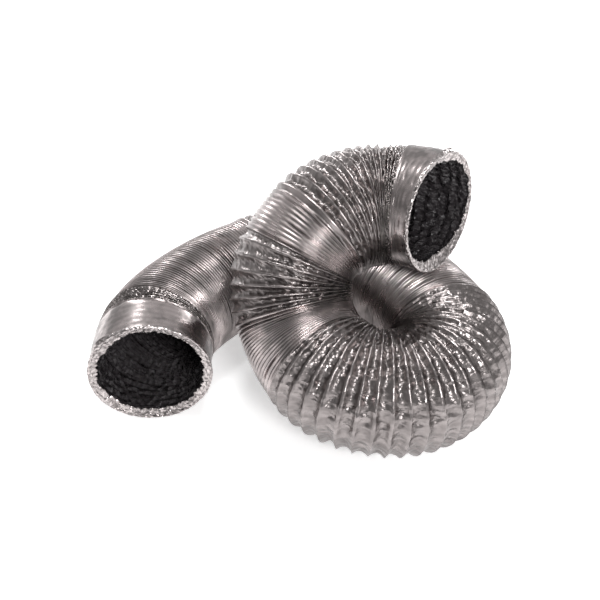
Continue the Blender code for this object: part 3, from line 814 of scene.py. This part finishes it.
def hem_mesh(name, station, inward, sizes, seed, turned_in, lifted):
    """Foil folded over the rim and turned in, with a torn inner edge.

    turned_in and lifted list (angle, width, height) of the places where the foil reaches
    further in, or stands off the band as a loose flap.
    """
    sides, outside, roll, inside = 420, 5, 4, 9     # round the mouth; rings on, over and in the rim
    rings = outside + roll + inside
    mesh = bmesh.new()
    fold = mesh.verts.layers.float.new("fold")
    sheet = mesh.verts.layers.float_vector.new("sheet")
    slack = mesh.verts.layers.float.new("slack")
    base = centre(station)
    along_route = heading(station + inward * 0.001)
    ahead = along_route * inward
    left = Vector((0, 0, 1)).cross(along_route).normalized()
    up = along_route.cross(left)
    verts = []
    for i in range(sides):
        angle = 2 * math.pi * i / sides - math.pi / 2
        around = Vector((math.cos(angle), math.sin(angle), seed))
        torn = noise.noise(around * 6) * 0.0022 + noise.noise(around * 17) * 0.0024
        width = sizes.hem_width + torn + sum(h * bell(angle, a, w) for a, w, h in turned_in)
        stand = sum(h * bell(angle, a, w) for a, w, h in lifted)
        back = 0.0035 + 0.0015 * noise.noise(around * 9)
        outward = left * math.cos(angle) + up * math.sin(angle)
        line = []
        for k in range(rings):
            if k < outside:
                share = k / outside
                along = back * (1 - share)
                radius = sizes.cuff_radius + 0.0007 + stand * (1 - share)
                rough = 0.0004
            elif k < outside + roll:
                turn = (k - outside + 1) / roll * math.pi / 2
                along = -0.0010 * math.sin(turn)
                radius = sizes.cuff_radius + 0.0007 - 0.0016 * (1 - math.cos(turn))
                rough = 0.0007
            else:
                share = (k - outside - roll + 1) / inside
                along = width * 0.40 * share - 0.0010
                radius = sizes.cuff_radius - 0.0009 - width * (0.70 * share + 0.15 * share * share)
                rough = 0.0016
            place = Vector((math.cos(angle), math.sin(angle), seed + k * 0.024))
            rumple = noise.noise(place * 14) * 0.9 + noise.noise(place * 33) * 0.7
            cell = noise.voronoi(place * 11)[0][0] - 0.3
            radius += rough * (rumple + cell)
            along += rough * 0.5 * noise.noise(place * 27 + Vector((5, 5, 5)))
            vertex = mesh.verts.new(base + ahead * along + outward * radius)
            vertex[fold] = 0.2
            vertex[slack] = 1.0
            vertex[sheet] = (math.cos(angle) * PLEAT_RADIUS, math.sin(angle) * PLEAT_RADIUS, k * 0.0014)
            line.append(vertex)
        verts.append(line)
    for here, beside in zip(verts, verts[1:] + verts[:1]):
        for k in range(rings - 1):
            mesh.faces.new((here[k], beside[k], beside[k + 1], here[k + 1]))
    bmesh.ops.recalc_face_normals(mesh, faces=mesh.faces)
    for face in mesh.faces:
        face.smooth = True
    data = bpy.data.meshes.new(name)
    mesh.to_mesh(data)
    mesh.free()
    return data


class DUCT_OT_hems(bpy.types.Operator):
    """Fold the foil over both rims"""
    bl_idname = "duct.hems"
    bl_label = "Hems"

    def execute(self, context):
        sizes = context.scene.duct_sizes
        colours = context.scene.duct_colours
        foil = foil_material("folded_aluminium_foil", colours.foil_dull_and_shade, colours.hem,
                             0.0045, 0.0014, 0.00003, 0.26)
        down = -math.pi / 2
        mouths = (
            ("left", 0.0, 1.0, 3.1, ((down, 1.4, 0.002), (0.8, 0.4, 0.004)), ((0.8, 0.35, 0.004),)),
            ("right", LENGTH, -1.0, 8.7, ((down, 1.0, 0.006), (1.3, 0.5, 0.004), (2.9, 1.5, -0.007),
                                         (0.0, 1.5, -0.006)), ((1.2, 0.45, 0.004),)),
        )
        for side, station, inward, seed, turned_in, lifted in mouths:
            data = hem_mesh(f"{side}_hem_foil", station, inward, sizes, seed, turned_in, lifted)
            data.materials.append(foil)
            piece = bpy.data.objects.new(f"{side}_hem_foil", data)
            context.scene.collection.objects.link(piece)
            thick = piece.modifiers.new("wall", "SOLIDIFY")
            thick.thickness = sizes.foil_wall
            thick.offset = 0.0
            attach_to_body(piece, f"{side}_mouth")
            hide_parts(f"{side}_hem")
        return {"FINISHED"}


# ---------------------------------------------------------------- the studio
def softbox(name, place, target, size, power):
    """An area light that faces the target."""
    data = bpy.data.lights.new(name, "AREA")
    data.shape = "RECTANGLE"
    data.size, data.size_y = size
    data.energy = power
    light = bpy.data.objects.new(name, data)
    light.location = place
    light.rotation_euler = (Vector(target) - Vector(place)).to_track_quat("-Z", "Y").to_euler()
    bpy.context.scene.collection.objects.link(light)


class DUCT_OT_studio(bpy.types.Operator):
    """Set the floor, the lights and the camera"""
    bl_idname = "duct.studio"
    bl_label = "Studio"

    def execute(self, context):
        scene = context.scene
        mesh = bmesh.new()
        bmesh.ops.create_grid(mesh, x_segments=2, y_segments=2, size=12.0)
        data = bpy.data.meshes.new("floor")
        mesh.to_mesh(data)
        mesh.free()
        data.materials.append(floor_material(scene.duct_colours.floor))
        floor = bpy.data.objects.new("floor", data)
        scene.collection.objects.link(floor)
        world = bpy.data.worlds.new("studio")
        world.use_nodes = True
        tree = world.node_tree
        background = tree.nodes["Background"]
        facing = add(tree, "ShaderNodeTexCoord").outputs["Generated"]
        facing = add(tree, "ShaderNodeVectorMath", [facing, (0.0, -0.80, 0.60)], operation="DOT_PRODUCT")
        shade = add(tree, "ShaderNodeMapRange", {"Value": facing.outputs["Value"], "From Min": -0.1,
                                                 "From Max": 0.9, "To Min": 0.62, "To Max": 0.24},
                    interpolation_type="SMOOTHSTEP")
        tree.links.new(shade.outputs[0], background.inputs["Strength"])
        background.inputs["Color"].default_value = (1.0, 1.0, 1.0, 1.0)
        scene.world = world
        softbox("top_light", (0.05, 0.15, 1.8), (0.03, 0, 0.1), (0.7, 0.6), 18.5)
        softbox("left_light", (-1.0, 2.0, 1.0), (-0.1, 0, 0.1), (0.28, 0.8), 17.0)
        softbox("right_light", (1.2, 1.7, 0.5), (0, 0, 0.1), (0.28, 0.8), 17.0)
        softbox("front_light", (0.5, -1.5, 1.2), (0, 0, 0.1), (0.45, 0.45), 18.0)
        lens = bpy.data.cameras.new("camera")
        lens.lens = 50.0
        lens.sensor_width = 36.0
        camera = bpy.data.objects.new("camera", lens)
        target = Vector(MOVE) + Vector((0, 0, 0.08))
        elevation = math.radians(37)
        camera.location = target + 1.16 * Vector((0, -math.cos(elevation), math.sin(elevation)))
        camera.rotation_euler = (target - camera.location).to_track_quat("-Z", "Y").to_euler()
        scene.collection.objects.link(camera)
        scene.camera = camera
        scene.view_settings.view_transform = "Standard"
        return {"FINISHED"}


class DUCT_PT_panel(bpy.types.Panel):
    """Settings and steps of the duct"""
    bl_label = "Flexible foil duct"
    bl_space_type = "VIEW_3D"
    bl_region_type = "UI"
    bl_category = "Duct"

    def draw(self, context):
        layout = self.layout
        for group in (context.scene.duct_sizes, context.scene.duct_colours):
            box = layout.box()
            for key in group.__annotations__:
                box.prop(group, key)
        for operator in OPERATORS:
            layout.operator(operator.bl_idname)


OPERATORS = (DUCT_OT_skins, DUCT_OT_liners, DUCT_OT_wires, DUCT_OT_hems, DUCT_OT_studio)
CLASSES = (DuctSizes, DuctColours) + OPERATORS + (DUCT_PT_panel,)


def register():
    for item in CLASSES:
        bpy.utils.register_class(item)
    bpy.types.Scene.duct_sizes = bpy.props.PointerProperty(type=DuctSizes)
    bpy.types.Scene.duct_colours = bpy.props.PointerProperty(type=DuctColours)


def unregister():
    del bpy.types.Scene.duct_colours
    del bpy.types.Scene.duct_sizes
    for item in reversed(CLASSES):
        bpy.utils.unregister_class(item)


def main():
    register()
    bpy.ops.duct.skins()
    bpy.ops.duct.liners()
    bpy.ops.duct.wires()
    bpy.ops.duct.hems()
    bpy.ops.duct.studio()


if __name__ == "__main__":
    main()
